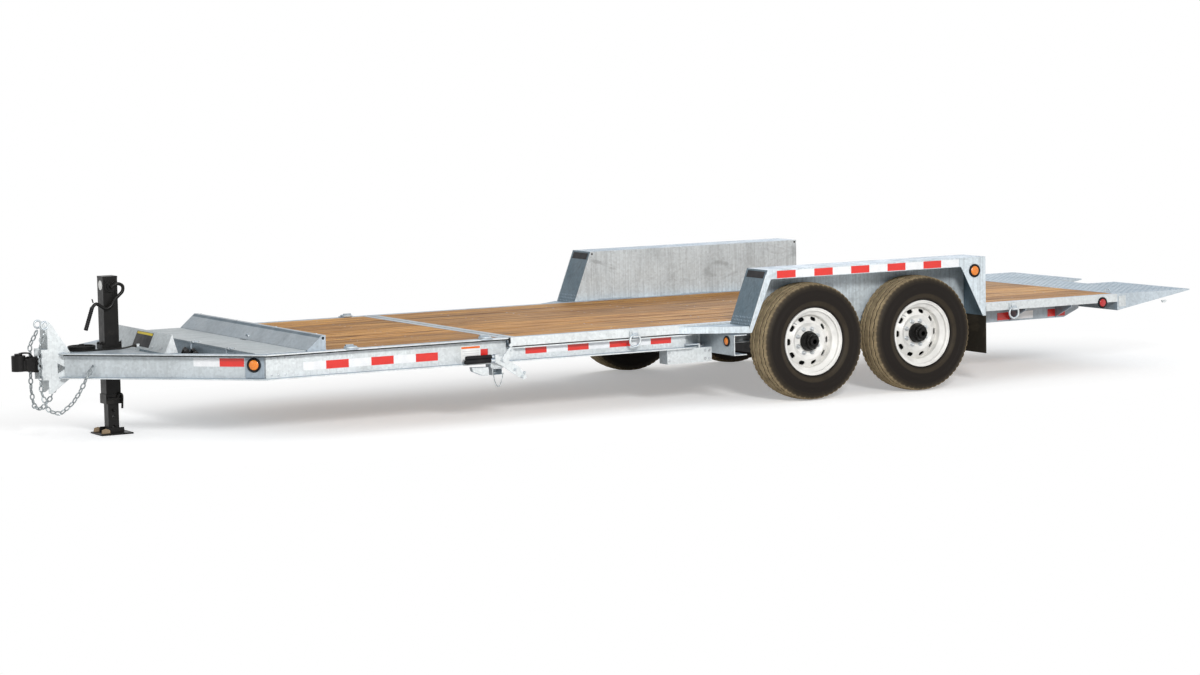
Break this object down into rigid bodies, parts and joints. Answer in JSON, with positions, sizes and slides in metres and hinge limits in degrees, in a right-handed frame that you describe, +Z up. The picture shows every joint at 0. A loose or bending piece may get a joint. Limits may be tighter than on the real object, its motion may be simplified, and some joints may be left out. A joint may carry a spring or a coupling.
{
  "type": "drop-deck tilt trailer, two axles, ball coupler",
  "caption": "Galvanised drop-deck tilt trailer with timber deck, fixed front deck, tilting rear bed with steel tail ramps, fenders, jack and ball coupler.",
  "frame": {"origin": "middle of the part's footprint on the ground, under the centre of its bounding box", "axes": "+X forward to the coupler, +Y to the left side, +Z up"},
  "size_m": [8.32, 2.6046, 0.982],
  "materials": {
    "galvanised": "satin",
    "black_paint": "satin",
    "white_paint": "gloss",
    "boards": "satin",
    "rubber": "matte",
    "tyre_rubber": "matte",
    "chain_steel": "satin",
    "rod_chrome": "gloss",
    "amber_lens": "gloss",
    "red_lens": "gloss"
  },
  "bodies": {
    "main_frame": {"main_rail_left": "galvanised", "main_rail_right": "galvanised", "tongue_rail_left": "galvanised", "tongue_rail_right": "galvanised", "main_crossmembers": "galvanised", "tongue_nose": "galvanised", "coupler": "black_paint", "safety_chains": "chain_steel", "jack_tube": "black_paint", "jack_leg": "black_paint", "jack_crank": "black_paint", "stop_rail": "galvanised", "toolbox": "galvanised", "front_planks": "boards", "hose_guard": "galvanised", "harness_lead": "rubber", "harness_coil": "rubber", "harness_plug": "rubber", "bed_latch": "galvanised", "front_tie_rings": "galvanised", "front_lamps": "amber_lens", "axle_front": "black_paint", "axle_rear": "black_paint", "side_box": "galvanised"},
    "tilt_bed": {"bed_rail_left": "galvanised", "bed_rail_right": "galvanised", "bed_joists": "galvanised", "bed_beam_left": "galvanised", "bed_beam_right": "galvanised", "bed_planks": "boards", "tail_deck": "galvanised", "fender_left": "galvanised", "fender_right": "galvanised", "mud_flap_left": "rubber", "mud_flap_right": "rubber", "bed_tie_rings": "galvanised", "bed_lamps": "red_lens"},
    "lid": {"toolbox_lid": "galvanised"},
    "barrel": {"cushion_barrel": "black_paint"},
    "rod": {"cushion_rod": "rod_chrome"},
    "wheel_front_left": {"tyre_front_left": "tyre_rubber", "rim_front_left": "white_paint"},
    "wheel_front_right": {"tyre_front_right": "tyre_rubber", "rim_front_right": "white_paint"},
    "wheel_rear_left": {"tyre_rear_left": "tyre_rubber", "rim_rear_left": "white_paint"},
    "wheel_rear_right": {"tyre_rear_right": "tyre_rubber", "rim_rear_right": "white_paint"}
  },
  "joints": [
    {"name": "bed_tilt", "type": "hinge", "parent": "main_frame", "child": "tilt_bed", "pos_m": [-1.63, 0, 0.425], "axis": [0, -1, 0], "range_deg": [0, 11.8]},
    {"name": "lid_hinge", "type": "hinge", "parent": "main_frame", "child": "lid", "pos_m": [2.972, 0, 0.539], "axis": [0, 1, 0], "range_deg": [0, 100]},
    {"name": "barrel_pivot", "type": "hinge", "parent": "main_frame", "child": "barrel", "pos_m": [0.07, 0, 0.29], "axis": [0, -1, 0], "range_deg": [0, 40]},
    {"name": "rod_slide", "type": "slide", "parent": "barrel", "child": "rod", "axis": [0.9701, 0, 0.2425], "range_m": [0, 0.235]},
    {"name": "front_left_spin", "type": "hinge", "parent": "main_frame", "child": "wheel_front_left", "pos_m": [-0.849, 1.176, 0.385], "axis": [0, 1, 0], "continuous": true},
    {"name": "front_right_spin", "type": "hinge", "parent": "main_frame", "child": "wheel_front_right", "pos_m": [-0.849, -1.176, 0.385], "axis": [0, 1, 0], "continuous": true},
    {"name": "rear_left_spin", "type": "hinge", "parent": "main_frame", "child": "wheel_rear_left", "pos_m": [-1.707, 1.176, 0.385], "axis": [0, 1, 0], "continuous": true},
    {"name": "rear_right_spin", "type": "hinge", "parent": "main_frame", "child": "wheel_rear_right", "pos_m": [-1.707, -1.176, 0.385], "axis": [0, 1, 0], "continuous": true}
  ],
  "couplings": [
    {"joint": "barrel_pivot", "follows": "bed_tilt", "ratio": 3.378},
    {"joint": "rod_slide", "follows": "bed_tilt", "m_per_rad": 1.093}
  ]
}
